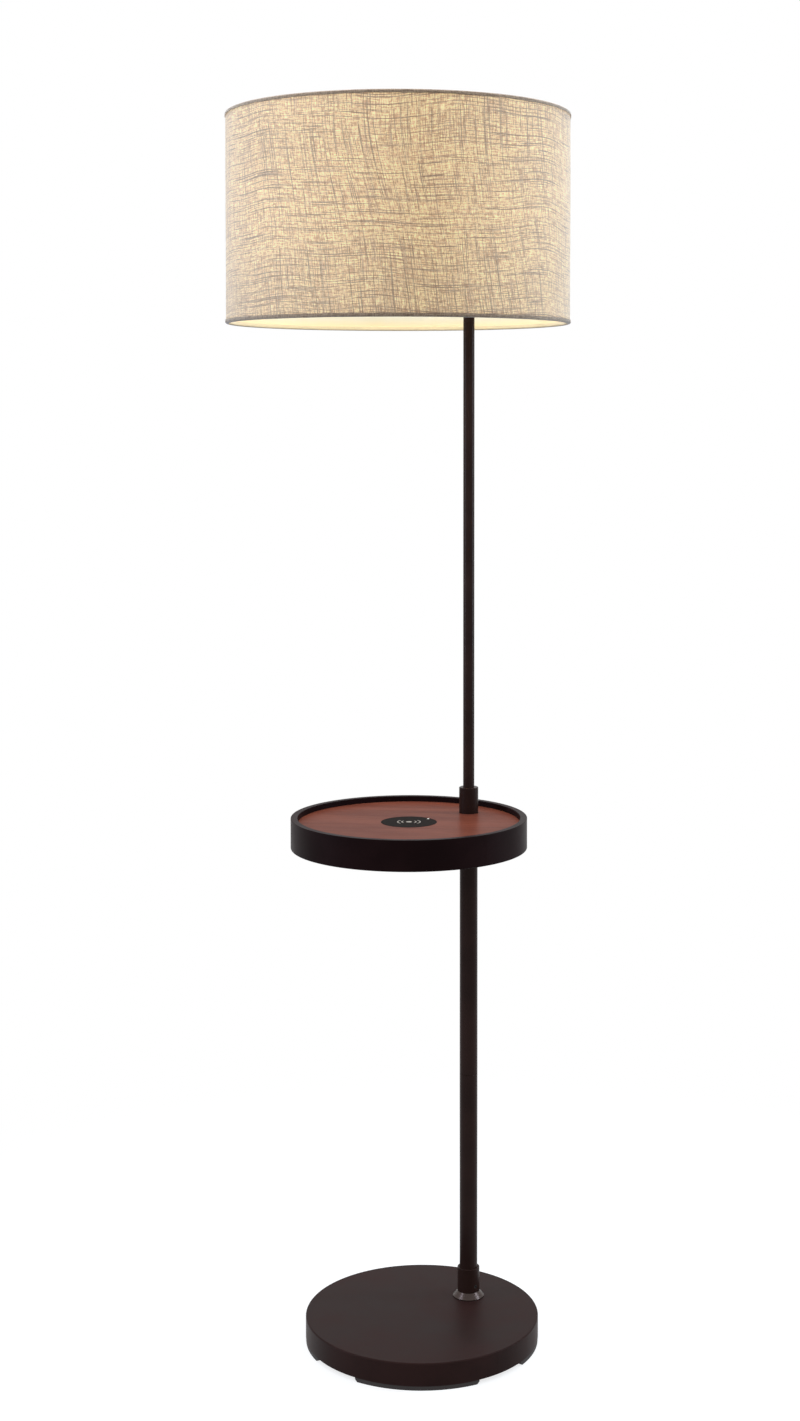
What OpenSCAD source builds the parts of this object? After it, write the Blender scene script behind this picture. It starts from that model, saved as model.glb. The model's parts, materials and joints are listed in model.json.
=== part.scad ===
// Floor lamp with a round side table and a drum shade. Millimetres, +Z up.
// The origin is on the floor under the axis of the shade, and the pole stands behind it in +Y.

/* [Layout] */
// Distance of the pole behind the axis of the shade
pole_back = 110; // [100:1:125]
// Distance of the base's centre behind the axis of the shade
base_back = 36; // [25:1:50]
// Distance of the table's centre behind the axis of the shade
table_back = 16; // [5:1:25]
// Height of the table's lower edge above the floor
table_z = 599; // [450:0.5:700]
// Height of the shade's lower edge above the floor
shade_z = 1221.5; // [1100:0.5:1400]
// Gap between a part and the hole or cup that it drops into
fit_gap = 0.1; // [0.05:0.01:0.2]

/* [Base] */
// Diameter of the base
base_d = 280; // [240:1:340]
// Height of the base cover from its lower edge to its top
base_h = 26.5; // [22:0.5:40]
// Sheet thickness of the base cover
base_wall = 1.2; // [1:0.1:2.5]
// Outer radius of the cover's rolled edge
base_edge_r = 1.6; // [1.4:0.1:6]
// Height of the cover's lower edge above the floor
foot_drop = 5; // [3:0.1:8]
// Radial width of a foot pad
foot_w = 16; // [8:1:25]
// Length of each foot pad round the base, in degrees
foot_arc = 62; // [30:1:80]
// Bevel on the lower corners of a foot pad's two ends
foot_bevel = 3; // [0.5:0.5:3]
// Distance of the foot pads inside the cover's outer face
foot_inset = 0.4; // [0.2:0.1:3]
// Thickness of the weight's disc
weight_t = 12; // [10:0.5:14]
// Gap all round the weight inside the cover
weight_gap = 0.4; // [0.2:0.1:1]
// Width of the weight's outer rib
weight_rim_w = 9; // [6:0.5:14]
// Width of the weight's radial ribs
weight_rib_w = 6; // [4:0.5:10]
// Thickness of the base plate
plate_t = 1.2; // [1:0.1:2]
// Distance that the base plate sits up inside the cover
plate_recess = 1.2; // [0.8:0.1:2]

/* [Fixings] */
// Diameter of the threaded tubes that clamp the lamp together
nipple_d = 10; // [9:0.1:12]
// Bore of the threaded tubes
nipple_bore = 7.2; // [6:0.1:7.5]
// Width across the flats of the base nut
nut_af = 16; // [14:0.5:19]
// Height of the base nut
nut_h = 5; // [4:0.5:6]
// Diameter of the base washer
washer_d = 24; // [18:1:25]
// Thickness of the base washer
washer_t = 1.5; // [1:0.1:2]
// Shank diameter of the plate and table screws
screw_d = 3; // [2.5:0.1:4]

/* [Foot of the pole] */
// Diameter of the foot flange on the base
flange_d = 38; // [32:0.5:50]
// Height of the foot flange
flange_h = 7; // [4:0.5:10]
// Outer diameter of the foot collar
foot_collar_d = 27; // [26:0.1:32]
// Height of the foot collar
foot_collar_h = 29; // [20:0.5:45]
// Thickness of the foot collar's floor
foot_collar_floor = 3; // [2:0.1:4]
// Clearance round the pole in the foot collar
foot_collar_gap = 0.3; // [0.1:0.05:0.5]
// Diameter of the set screw
set_screw_d = 4; // [3:0.5:5]

/* [Poles] */
// Outer diameter of the lower pole
lower_pole_d = 21.8; // [20:0.1:24]
// Wall of the lower pole
lower_pole_wall = 1.5; // [1:0.1:2]
// Height of the lower pole's seam above the floor
lower_seam_z = 307; // [200:1:400]
// Outer diameter of the upper pole and the arm
upper_pole_d = 13.7; // [12.5:0.1:16]
// Wall of the upper pole and the arm
upper_pole_wall = 1.2; // [0.8:0.1:1.5]
// Height of the upper pole's seam above the table's lower edge
upper_seam_up = 337.5; // [200:0.5:400]
// Length of the threaded couplers inside the poles
coupler_len = 36; // [24:1:50]
// Chamfer on the ends of the poles' tubes, which shows at their seams
seam_chamfer = 0.35; // [0.1:0.05:0.6]
// Height of the seam under the arm above the shade's lower edge
arm_seam_up = 19; // [17:1:40]
// Bend radius of the arm
arm_r = 20; // [16:1:30]
// Straight length at each end of the arm
arm_straight = 14; // [12:0.5:20]

/* [Table] */
// Diameter of the table
table_d = 282; // [250:1:330]
// Height of the table's rim
table_h = 36; // [30:0.5:45]
// Thickness of the table's rim
rim_wall = 8; // [7:0.1:12]
// Rounding of the rim's corners
rim_round = 0.7; // [0.5:0.1:2.5]
// Depth of the board below the top of the rim
board_recess = 6.6; // [5:0.1:10]
// Thickness of the board
board_t = 9; // [8:0.5:12]
// Gap round the board
board_gap = 0.3; // [0.2:0.1:1]
// Width of the ledge under the board
ledge_w = 6; // [5:0.5:9]
// Thickness of the ledge under the board
ledge_t = 4; // [3:0.5:5]
// Thickness of the table's bottom plate
tray_base_t = 1.5; // [1:0.1:2]
// Distance that the bottom plate sits up inside the rim
tray_base_recess = 2.5; // [2.2:0.1:4]
// Depth of the rebate that the bottom plate sits in
rebate_w = 4; // [3:0.1:5]
// Width of the ledge that the spacer under the collar gives the board
spacer_ledge = 1.6; // [1:0.1:3]
// Outer diameter of the collar that stands up through the board
table_collar_d = 23.4; // [19:0.1:28]
// Height of the collar above the board
table_collar_h = 31.5; // [20:0.5:40]
// Depth of thread that each nipple has in its collar
thread_h = 10; // [8:0.5:12]

/* [Charging pad] */
// Diameter of the charging pad
pad_d = 67; // [60:0.5:72]
// Thickness of the pad's cap
pad_cap_t = 1.6; // [1.2:0.1:2]
// Height of the cap's face above the board
pad_proud = 0.2; // [0.1:0.1:0.5]
// Wall of the pad's housing
pad_wall = 1.8; // [1.2:0.1:2]
// Width of the flange that holds the housing under the board
pad_flange_w = 8; // [7:0.5:10]
// Thickness of the housing's floor and flange
pad_floor_t = 1.6; // [1.2:0.1:2]
// Thickness of the circuit board
pcb_t = 1.6; // [1:0.1:2]
// Diameter of the charging coil
coil_d = 46; // [38:0.5:49]
// Diameter of the coil's open centre
coil_hole_d = 20; // [16:0.5:24]
// Thickness of the charging coil
coil_t = 2; // [1.5:0.1:2.2]
// Thickness of the ferrite sheet under the coil
ferrite_t = 1.5; // [1:0.1:1.8]
// Diameter of the pad's light
light_d = 2.5; // [2:0.1:3]
// Distance of the pad's light behind the pad's centre
light_back = 30; // [28:0.1:30]
// Length of the power module
module_l = 28; // [20:1:34]
// Width of the power module
module_w = 44; // [30:1:60]
// Height of the power module
module_h = 11; // [9:0.5:12]

/* [Wiring] */
// Diameter of the mains lead inside the lamp
lead_d = 4.2; // [3:0.1:5]
// Diameter of the low-voltage leads
small_lead_d = 2.4; // [1.8:0.1:3]
// Bend radius of the mains lead in the base
lead_bend_r = 6.2; // [5:0.1:8]
// Diameter of the grommet's body in the cover
grommet_d = 8; // [7:0.1:9]
// Diameter of the grommet's bore
grommet_bore = 5.2; // [4:0.1:5.5]
// Width of the grommet's outer lip round its body
grommet_lip = 1.6; // [1:0.1:2.5]

/* [Lamp holder] */
// Outer diameter of the metal socket
socket_d = 38.8; // [37:0.1:42]
// Sheet thickness of the socket's metal parts
socket_wall = 0.8; // [0.6:0.1:1]
// Height of the socket's cap
cap_h = 20; // [18:0.5:22]
// Height of the socket's shell above the cap's lower edge
shell_top_up = 52; // [50:0.5:56]
// Height of the shoulder that carries the shade above the cap's lower edge
shoulder_up = 34; // [32:0.5:38]
// Diameter of the shoulder
shoulder_d = 45; // [43:0.5:50]
// Diameter of the bulb's screw cap
bulb_cap_d = 26.2; // [26:0.1:26.4]
// Clearance round the bulb's screw cap in the socket
bulb_gap = 0.3; // [0.2:0.05:0.4]
// Diameter of the bulb
bulb_d = 60; // [50:1:66]
// Overall length of the bulb
bulb_len = 108; // [100:1:112]
// Diameter of the switch's stem
stem_d = 4.4; // [4:0.1:5]
// Running clearance round the switch's stem
stem_gap = 0.05; // [0.02:0.01:0.08]
// Diameter of the switch's knob
knob_d = 12; // [10:0.5:16]
// Length of the switch's knob
knob_l = 13; // [10:0.5:18]
// Number of grip flutes round the knob
knob_flutes = 12; // [8:1:16]

/* [Shade] */
// Outer diameter of the shade over its trims
shade_d = 406; // [380:1:420]
// Height of the shade
shade_h = 245.5; // [230:0.5:300]
// Thickness of the rolled trims
trim_t = 0.5; // [0.3:0.1:1]
// Height of a trim on the outside of the shade
trim_out_h = 4; // [3:0.5:8]
// Height of a trim on the inside of the shade
trim_in_h = 5; // [4:0.5:8]
// Thickness of the shade's linen
linen_t = 0.7; // [0.4:0.1:1]
// Thickness of the shade's liner
liner_t = 0.8; // [0.5:0.1:1]
// Wire diameter of the shade's rings
ring_wire_d = 2.6; // [2:0.1:3.5]
// Wire diameter of the shade's spokes
spoke_d = 3.2; // [2.4:0.1:4]
// Number of spokes
spoke_count = 3; // [3:1:4]
// Diameter of the frame's hub ring
hub_d = 54; // [52:0.5:60]
// Thickness of the frame's hub ring
hub_t = 2; // [1.5:0.1:2.5]
// Diameter of the ring that clamps the shade
clamp_d = 47; // [44:0.5:48]
// Height of the ring that clamps the shade
clamp_h = 6; // [4:0.5:7]

/* [Hidden] */
$fn = 96;
sink = 0.01;
plate_screw_spots = [45, 135, 225, 315];
weight_rib_spots = [30, 150, 210, 270, 330];
foot_spots = [48, 138, 228, 318];
tray_screw_spots = [45, 135, 225, 315];
pad_screw_spots = [30, 150, 270];
finish = "#2b2422";
steel = "#9a9a9c";
brass = "#b08d57";
phenolic = "#262626";
linen = "#d8bd97";

// Heights in the base, from the floor up
base_top = foot_drop + base_h;
edge_r = max(base_edge_r, base_wall + 0.4);
plate_z = foot_drop + plate_recess;
weight_low = plate_z + plate_t;
weight_top = base_top - base_wall;
weight_z = weight_top - weight_t;
weight_r = base_d / 2 - base_wall - weight_gap;
hub_pocket_d = washer_d + 2;
hub_pocket_z = weight_top - 5;
nut_z = hub_pocket_z - washer_t - nut_h;
base_nipple_z = nut_z - 0.9;
weight_boss_d = 14;
plate_screw_r = 95;
plate_screw_len = plate_t + 2.6 * screw_d;
screw_head_d = 2.13 * screw_d;
screw_head_h = 0.67 * screw_d;
grommet_z = weight_low + 5;
grommet_face = base_back + base_d / 2;
grommet_slot_w = grommet_d + 8;
grommet_inner_t = 2;

// Foot of the pole
flange_top = base_top + flange_h;
collar_seat = flange_top + foot_collar_floor;
collar_top = flange_top + foot_collar_h;
collar_bore_d = lower_pole_d + 2 * foot_collar_gap;
set_screw_z = collar_seat + set_screw_d / 2 + 2.5;
base_nipple_top = collar_seat + 4;
lower_bore_d = lower_pole_d - 2 * lower_pole_wall;

// Table, from its lower edge up
table_r = table_d / 2;
table_inner_r = table_r - rim_wall;
table_top = table_z + table_h;
board_top = table_top - board_recess;
board_z = board_top - board_t;
tray_base_z = table_z + tray_base_recess;
tray_base_top = tray_base_z + tray_base_t;
board_r = table_inner_r - board_gap;
tray_boss_d = 10;
tray_screw_r = table_inner_r - 4;
tray_screw_len = tray_base_t + 2.3 * screw_d;
insert_len = coupler_len / 2;
spacer_d = table_collar_d + 2 * spacer_ledge;
window_w = 5;
window_z = tray_base_top + 2;
window_h = 8.5;
pole_seat = board_top + thread_h;
upper_bore_d = upper_pole_d - 2 * upper_pole_wall;
upper_seam_z = table_z + upper_seam_up;

// Charging pad, from its floor up
pad_top = board_top + pad_proud;
cap_z = pad_top - pad_cap_t;
pad_flange_z = board_z - pad_floor_t;
pad_inner_d = pad_d - 2 * pad_wall;
post_d = 4;
post_h = 2.5;
post_r = pad_inner_d / 2 - 1.9 * post_d;
pad_floor_z = pad_flange_z - 1.3 - pad_floor_t;
post_z = pad_floor_z + pad_floor_t;
pcb_z = post_z + post_h;
pcb_top = pcb_z + pcb_t;
coil_z = cap_z - coil_t;
ferrite_z = coil_z - ferrite_t;
pad_screw_r = pad_d / 2 + pad_flange_w / 2;
pad_screw_d = 2.2;
pad_screw_head_d = 4.2;
pad_screw_len = 6;

// Leads in the table
module_gap = 7;
module_back = pole_back - spacer_d / 2 - module_gap;
lead_level = tray_base_top + module_h / 2;
small_bend_r = 4;
small_lead_y = table_back + pad_inner_d / 2 - 4 * small_lead_d;

// Arm and lamp holder
arm_seam_z = shade_z + arm_seam_up;
arm_bend_z = arm_seam_z + arm_straight;
arm_z = arm_bend_z + arm_r;
arm_rise_z = arm_z + arm_r;
cap_seat = arm_rise_z + arm_straight;
cap_top = cap_seat + cap_h;
cap_neck_r = 8;
cap_neck_h = 8;
cap_dome_r = socket_d / 2 - cap_neck_r;
shell_r = socket_d / 2 - socket_wall - fit_gap;
shell_z = cap_top - 6;
shell_top = cap_seat + shell_top_up;
shoulder_z = cap_seat + shoulder_up;
shoulder_t = 1.2;
insulator_r = shell_r - socket_wall - 2 * fit_gap;
insulator_z = cap_seat + cap_neck_h;
insulator_top = shell_top - 1;
screw_shell_r = bulb_cap_d / 2 + bulb_gap;
screw_shell_wall = 0.7;
cavity_z = shoulder_z - 4;
contact_t = 2;
bulb_z = cavity_z + contact_t;
bulb_top = bulb_z + bulb_len;
bulb_cap_h = 24;
bulb_split = bulb_top - bulb_d * 0.78;
stem_z = cavity_z - stem_d / 2 - 3.5;
stem_in = 5;
stem_out = socket_d / 2 + 12;
knob_y = socket_d / 2 + 10;
hub_z = shoulder_z + shoulder_t;
clamp_z = hub_z + hub_t;

// Shade
shade_r = shade_d / 2;
shade_top = shade_z + shade_h;
linen_r = shade_r - trim_t;
liner_r = linen_r - linen_t;
ring_gap = 0.1;
ring_r = liner_r - liner_t - ring_gap - ring_wire_d / 2;
ring_rise = trim_t + ring_gap + ring_wire_d / 2;
trim_inner_r = ring_r - ring_wire_d / 2 - ring_gap;
top_ring_z = shade_top - ring_rise;
spoke_start_r = hub_d / 2 - spoke_d / 3;
spoke_start_z = hub_z + hub_t / 2;
spoke_notch_w = spoke_d + 2;

// ---------------------------------------------------------------- shapes used more than once

// A round tube standing on z
module tube(outer_d, inner_d, z, h) {
  translate([0, 0, z]) difference() {
    cylinder(d = outer_d, h = h);
    translate([0, 0, -1]) cylinder(d = inner_d, h = h + 2);
  }
}

// One length of pole on z, with its outer ends chamfered
module pole_tube(outer_d, inner_d, z, h) {
  slim_d = outer_d - 2 * seam_chamfer;
  translate([0, 0, z]) difference() {
    union() {
      cylinder(d1 = slim_d, d2 = outer_d, h = seam_chamfer);
      translate([0, 0, seam_chamfer]) cylinder(d = outer_d, h = h - 2 * seam_chamfer);
      translate([0, 0, h - seam_chamfer]) cylinder(d1 = outer_d, d2 = slim_d, h = seam_chamfer);
    }
    translate([0, 0, -1]) cylinder(d = inner_d, h = h + 2);
  }
}

// A flat ring's section, with its four corners rounded, from radius r0 to r1 and from z0 to z1
module round_section(r0, r1, z0, z1, round) {
  translate([r0 + round, z0]) square([r1 - r0 - 2 * round, z1 - z0]);
  translate([r0, z0 + round]) square([r1 - r0, z1 - z0 - 2 * round]);
  for (r = [r0 + round, r1 - round]) {
    for (z = [z0 + round, z1 - round]) {
      translate([r, z]) circle(r = round);
    }
  }
}

// Moves what follows onto the pole's axis
module at_pole() {
  translate([0, pole_back, 0]) children();
}

// A quarter bend in the YZ plane, whose arc starts at the angle given, measured from +Y towards +Z
module quarter_bend(d, y, z, bend_r, start) {
  translate([0, y, z]) rotate([90, 0, 90]) rotate([0, 0, start])
    rotate_extrude(angle = 90) translate([bend_r, 0]) circle(d = d);
}

// A rod along -Y, from y_back to y_front
module rod_forward(d, y_back, y_front, z) {
  translate([0, y_back, z]) rotate([90, 0, 0]) cylinder(d = d, h = y_back - y_front);
}

// The offset arm's path as a solid rod, lengthened at both ends by extra
module arm_rod(d, extra) {
  at_pole() translate([0, 0, arm_seam_z - extra]) cylinder(d = d, h = arm_straight + extra);
  quarter_bend(d, pole_back - arm_r, arm_bend_z, arm_r, 0);
  rod_forward(d, pole_back - arm_r, arm_r, arm_z);
  quarter_bend(d, arm_r, arm_rise_z, arm_r, 180);
  translate([0, 0, arm_rise_z]) cylinder(d = d, h = arm_straight + extra);
}

// A threaded stub with chamfered ends that joins two tubes
module stub(d, bore, z, h) {
  chamfer = 0.8;
  difference() {
    union() {
      translate([0, 0, z]) cylinder(d1 = d - 2 * chamfer, d2 = d, h = chamfer);
      translate([0, 0, z + chamfer]) cylinder(d = d, h = h - 2 * chamfer);
      translate([0, 0, z + h - chamfer]) cylinder(d1 = d, d2 = d - 2 * chamfer, h = chamfer);
    }
    translate([0, 0, z - 1]) cylinder(d = bore, h = h + 2);
  }
}

// A pan-head screw that points up, with its head's top face at z = 0
module screw_up(shank_d, head_d, head_h, len) {
  cross_w = shank_d / 4;
  difference() {
    translate([0, 0, -head_h]) cylinder(d1 = head_d * 0.8, d2 = head_d, h = head_h);
    for (turn = [0, 90]) {
      rotate([0, 0, turn]) translate([-shank_d / 2, -cross_w / 2, -head_h - 1])
        cube([shank_d, cross_w, 1 + head_h / 2]);
    }
  }
  cylinder(d = shank_d, h = len);
}

// Repeats what follows at the angles given, on a circle of radius r
module round_spots(spots, r) {
  for (a = spots) {
    rotate([0, 0, a]) translate([r, 0, 0]) children();
  }
}

// ---------------------------------------------------------------- base

module base_cover() {
  r = base_d / 2;
  inner_round = edge_r - base_wall;
  color(finish) translate([0, base_back, 0]) difference() {
    rotate_extrude() difference() {
      union() {
        translate([0, foot_drop]) square([r - edge_r, base_h]);
        translate([0, foot_drop]) square([r, base_h - edge_r]);
        translate([r - edge_r, base_top - edge_r]) circle(r = edge_r);
      }
      translate([-1, foot_drop - 1]) square([r - edge_r + 1, base_h - base_wall + 1]);
      translate([-1, foot_drop - 1]) square([r - base_wall + 1, base_h - edge_r + 1]);
      translate([r - edge_r, base_top - edge_r]) circle(r = inner_round);
      translate([-2 * r, 0]) square([2 * r, base_top + 1]);
    }
    translate([0, pole_back - base_back, weight_top - 1]) cylinder(d = nipple_d + 2 * fit_gap, h = base_wall + 2);
    translate([0, r + 1, grommet_z]) rotate([90, 0, 0]) cylinder(d = grommet_d + 2 * fit_gap, h = base_wall + 3);
  }
}

module base_weight() {
  rib_h = 4.5;
  rib_r = weight_r - weight_rim_w / 2;
  round = edge_r - base_wall + weight_gap;
  color("#4a4a4c") translate([0, base_back, 0]) difference() {
    union() {
      rotate_extrude() union() {
        translate([0, weight_z]) square([weight_r - round, weight_t]);
        translate([0, weight_z]) square([weight_r, weight_t - round]);
        translate([weight_r - round, weight_top - round]) circle(r = round);
        translate([weight_r - weight_rim_w, weight_low]) square([weight_rim_w, weight_t]);
      }
      round_spots(plate_screw_spots, plate_screw_r)
        translate([0, 0, weight_low]) cylinder(d = weight_boss_d, h = weight_z - weight_low + 1);
      for (a = weight_rib_spots) {
        rotate([0, 0, a]) translate([0, -weight_rib_w / 2, weight_z - rib_h]) cube([rib_r, weight_rib_w, rib_h + 1]);
      }
    }
    round_spots(plate_screw_spots, plate_screw_r)
      translate([0, 0, weight_low - 1]) cylinder(d = screw_d + fit_gap, h = plate_screw_len + 2);
    translate([-grommet_slot_w / 2, weight_r - weight_rim_w - 2, weight_low - 1])
      cube([grommet_slot_w, weight_rim_w + 4, weight_z - weight_low + 1]);
    translate([0, pole_back - base_back, weight_low - 1]) cylinder(d = hub_pocket_d, h = hub_pocket_z - weight_low + 1);
    translate([0, pole_back - base_back, weight_z]) cylinder(d = nipple_d + 2 * fit_gap, h = weight_t + 1);
  }
}

module base_plate() {
  color(steel) translate([0, base_back, plate_z]) difference() {
    cylinder(r = weight_r, h = plate_t);
    round_spots(plate_screw_spots, plate_screw_r)
      translate([0, 0, -1]) cylinder(d = screw_d + 4 * fit_gap, h = plate_t + 2);
  }
}

module base_plate_screws() {
  color(steel) translate([0, base_back, plate_z]) round_spots(plate_screw_spots, plate_screw_r)
    screw_up(screw_d, screw_head_d, screw_head_h, plate_screw_len);
}

module foot_pads() {
  outer_r = base_d / 2 - foot_inset;
  color("#1c1a19") translate([0, base_back, 0]) for (a = foot_spots) {
    difference() {
      rotate([0, 0, a - foot_arc / 2]) rotate_extrude(angle = foot_arc) union() {
        translate([outer_r - foot_w, 0]) square([foot_w, foot_drop]);
        translate([outer_r - foot_w, 0]) square([weight_r - outer_r + foot_w, plate_z]);
      }
      for (side = [-1, 1]) {
        rotate([0, 0, a + side * foot_arc / 2]) translate([outer_r - foot_w - 1, 0, 0]) foot_bevel_cut(side);
      }
    }
  }
}

// The wedge taken off one end of a foot pad, which lies on the far side of y = 0 from side
module foot_bevel_cut(side) {
  reach = foot_bevel + 1;
  rotate([90, 0, 90]) linear_extrude(foot_w + 2) polygon([
    [-side * reach, -1],
    [side, -1],
    [side, reach],
  ]);
}

module cord_grommet() {
  lip_t = 2;
  inner_end = base_wall + grommet_inner_t;
  color("#1a1a1a") translate([0, grommet_face, grommet_z]) rotate([90, 0, 0]) difference() {
    union() {
      cylinder(d = grommet_d, h = inner_end);
      translate([0, 0, -lip_t]) cylinder(d = grommet_d + 2 * grommet_lip, h = lip_t);
      translate([0, 0, base_wall + 0.3]) cylinder(d = grommet_d + 0.8, h = grommet_inner_t - 0.3);
    }
    translate([0, 0, -lip_t - 1]) cylinder(d = grommet_bore, h = lip_t + inner_end + 2);
  }
}

module base_nipple() {
  color(steel) at_pole() stub(nipple_d, nipple_bore, base_nipple_z, base_nipple_top - base_nipple_z);
}

module base_washer() {
  color(steel) at_pole() tube(washer_d, nipple_d + 2 * fit_gap, hub_pocket_z - washer_t, washer_t);
}

module base_nut() {
  flats_to_corners = 2 / sqrt(3);
  color(steel) at_pole() translate([0, 0, nut_z]) difference() {
    cylinder(d = nut_af * flats_to_corners, h = nut_h, $fn = 6);
    translate([0, 0, -1]) cylinder(d = nipple_d + 2 * fit_gap, h = nut_h + 2);
  }
}

// ---------------------------------------------------------------- foot of the pole

module foot_flange() {
  lip = 1;
  color("#6b6663") at_pole() translate([0, 0, base_top]) difference() {
    union() {
      cylinder(d = flange_d, h = lip);
      translate([0, 0, lip]) cylinder(d1 = flange_d, d2 = foot_collar_d, h = flange_h - lip);
    }
    translate([0, 0, -1]) cylinder(d = nipple_d + 2 * fit_gap, h = flange_h + 2);
  }
}

module foot_collar() {
  color(finish) at_pole() difference() {
    rotate_extrude() round_section(0, foot_collar_d / 2, flange_top, collar_top, 0.5);
    translate([0, 0, collar_seat]) cylinder(d = collar_bore_d, h = foot_collar_h);
    translate([0, 0, flange_top - 1]) cylinder(d = nipple_d + 2 * fit_gap, h = foot_collar_floor + 2);
    translate([lower_pole_d / 2 - 1, 0, set_screw_z]) rotate([0, 90, 0])
      cylinder(d = set_screw_d + 2 * fit_gap, h = foot_collar_d);
  }
}

module collar_screw() {
  tip = lower_pole_d / 2;
  len = foot_collar_d / 2 - tip - 0.3;
  color("#111111") at_pole() translate([tip, 0, set_screw_z]) rotate([0, 90, 0]) difference() {
    cylinder(d = set_screw_d, h = len);
    translate([0, 0, len - 1]) cylinder(d = set_screw_d / 2, h = 2, $fn = 6);
  }
}

// ---------------------------------------------------------------- lower pole

module lower_pole_bottom() {
  color(finish) at_pole() pole_tube(lower_pole_d, lower_bore_d, collar_seat, lower_seam_z - collar_seat);
}

module lower_pole_coupler() {
  color(steel) at_pole()
    stub(lower_bore_d - 2 * fit_gap, nipple_d, lower_seam_z - coupler_len / 2, coupler_len);
}

module lower_pole_top() {
  color(finish) at_pole() pole_tube(lower_pole_d, lower_bore_d, lower_seam_z, tray_base_z - lower_seam_z);
}

module pole_top_insert() {
  color(steel) at_pole()
    tube(lower_bore_d - 2 * fit_gap, nipple_d + 2 * fit_gap, tray_base_z - insert_len, insert_len);
}

// ---------------------------------------------------------------- table

module tray_rim() {
  boss_z = tray_base_top;
  color(finish) translate([0, table_back, 0]) difference() {
    union() {
      rotate_extrude() union() {
        round_section(table_inner_r, table_r, table_z, table_top, rim_round);
        translate([table_inner_r - ledge_w, board_z - ledge_t]) square([ledge_w + rim_wall / 2, ledge_t]);
      }
      round_spots(tray_screw_spots, tray_screw_r)
        translate([0, 0, boss_z]) cylinder(d = tray_boss_d, h = board_z - boss_z);
    }
    translate([0, 0, table_z - 1]) cylinder(r = table_inner_r + rebate_w, h = tray_base_top - table_z + 1);
    round_spots(tray_screw_spots, tray_screw_r)
      translate([0, 0, boss_z - 1]) cylinder(d = screw_d + fit_gap, h = tray_screw_len + 0.5);
  }
}

module tray_top() {
  color("#8a5f4c") difference() {
    translate([0, table_back, board_z]) cylinder(r = board_r, h = board_t);
    translate([0, table_back, board_z - 1]) cylinder(d = pad_d + 2 * fit_gap, h = board_t + 2);
    at_pole() translate([0, 0, board_z - 1]) cylinder(d = table_collar_d + 2 * board_gap, h = board_t + 2);
    translate([0, table_back, board_z - 1]) round_spots(pad_screw_spots, pad_screw_r)
      cylinder(d = pad_screw_d + fit_gap, h = pad_screw_len + 0.5);
  }
}

module tray_base() {
  color("#1f1b1a") difference() {
    translate([0, table_back, tray_base_z])
      cylinder(r = table_inner_r + rebate_w - 2 * fit_gap, h = tray_base_t);
    at_pole() translate([0, 0, tray_base_z - 1]) cylinder(d = nipple_d + 2 * fit_gap, h = tray_base_t + 2);
    translate([0, table_back, tray_base_z - 1]) round_spots(tray_screw_spots, tray_screw_r)
      cylinder(d = screw_d + 4 * fit_gap, h = tray_base_t + 2);
  }
}

module tray_screws() {
  color(steel) translate([0, table_back, tray_base_z]) round_spots(tray_screw_spots, tray_screw_r)
    screw_up(screw_d, screw_head_d, screw_head_h, tray_screw_len);
}

// The window that lets the small lead out of the pole, cut towards the pad
module lead_window() {
  translate([-window_w / 2, -spacer_d, window_z]) cube([window_w, spacer_d, window_h]);
}

module tray_spacer() {
  color(steel) at_pole() difference() {
    tube(spacer_d, nipple_d + 2 * fit_gap, tray_base_top, board_z - tray_base_top);
    lead_window();
  }
}

module tray_nipple() {
  low = tray_base_z - insert_len + 2;
  color(steel) at_pole() difference() {
    stub(nipple_d, nipple_bore, low, pole_seat - 0.9 - low);
    lead_window();
  }
}

module tray_collar() {
  color(finish) at_pole() difference() {
    rotate_extrude() union() {
      round_section(0, table_collar_d / 2, board_z, board_top + table_collar_h, 1);
      translate([0, board_z]) square([table_collar_d / 2, board_t + table_collar_h / 2]);
    }
    translate([0, 0, board_z - 1]) cylinder(d = nipple_d + 2 * fit_gap, h = board_t + table_collar_h);
    translate([0, 0, pole_seat]) cylinder(d = upper_pole_d + 2 * fit_gap, h = table_collar_h);
  }
}

// ---------------------------------------------------------------- charging pad

module pad_cap() {
  color("#4b4842") translate([0, table_back, 0]) difference() {
    rotate_extrude() union() {
      translate([0, cap_z]) square([pad_d / 2 - 0.5, pad_cap_t]);
      translate([0, cap_z]) square([pad_d / 2, pad_cap_t - 0.5]);
      translate([pad_d / 2 - 0.5, pad_top - 0.5]) circle(r = 0.5);
    }
    translate([0, light_back, cap_z - 1]) cylinder(d = light_d + 2 * fit_gap, h = pad_cap_t + 2);
  }
}

module pad_housing() {
  color("#2c2c2c") translate([0, table_back, 0]) difference() {
    union() {
      tube(pad_d, pad_inner_d, pad_floor_z, cap_z - pad_floor_z);
      translate([0, 0, pad_floor_z]) cylinder(d = pad_d, h = pad_floor_t);
      tube(pad_d + 2 * pad_flange_w, pad_inner_d, pad_flange_z, pad_floor_t);
      round_spots(pad_screw_spots, post_r) translate([0, 0, post_z]) cylinder(d = post_d, h = post_h);
    }
    round_spots(pad_screw_spots, pad_screw_r)
      translate([0, 0, pad_flange_z - 1]) cylinder(d = pad_screw_d + 2 * fit_gap, h = pad_floor_t + 2);
    translate([0, small_lead_y - table_back, pad_floor_z - 1])
      cylinder(d = small_lead_d + 4 * fit_gap, h = pad_floor_t + 2);
  }
}

module pad_screws() {
  color(steel) translate([0, table_back, pad_flange_z]) round_spots(pad_screw_spots, pad_screw_r)
    screw_up(pad_screw_d, pad_screw_head_d, 1.6, pad_screw_len);
}

module charge_coil() {
  color("#b5673a") translate([0, table_back, 0]) tube(coil_d, coil_hole_d, coil_z, coil_t);
}

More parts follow.
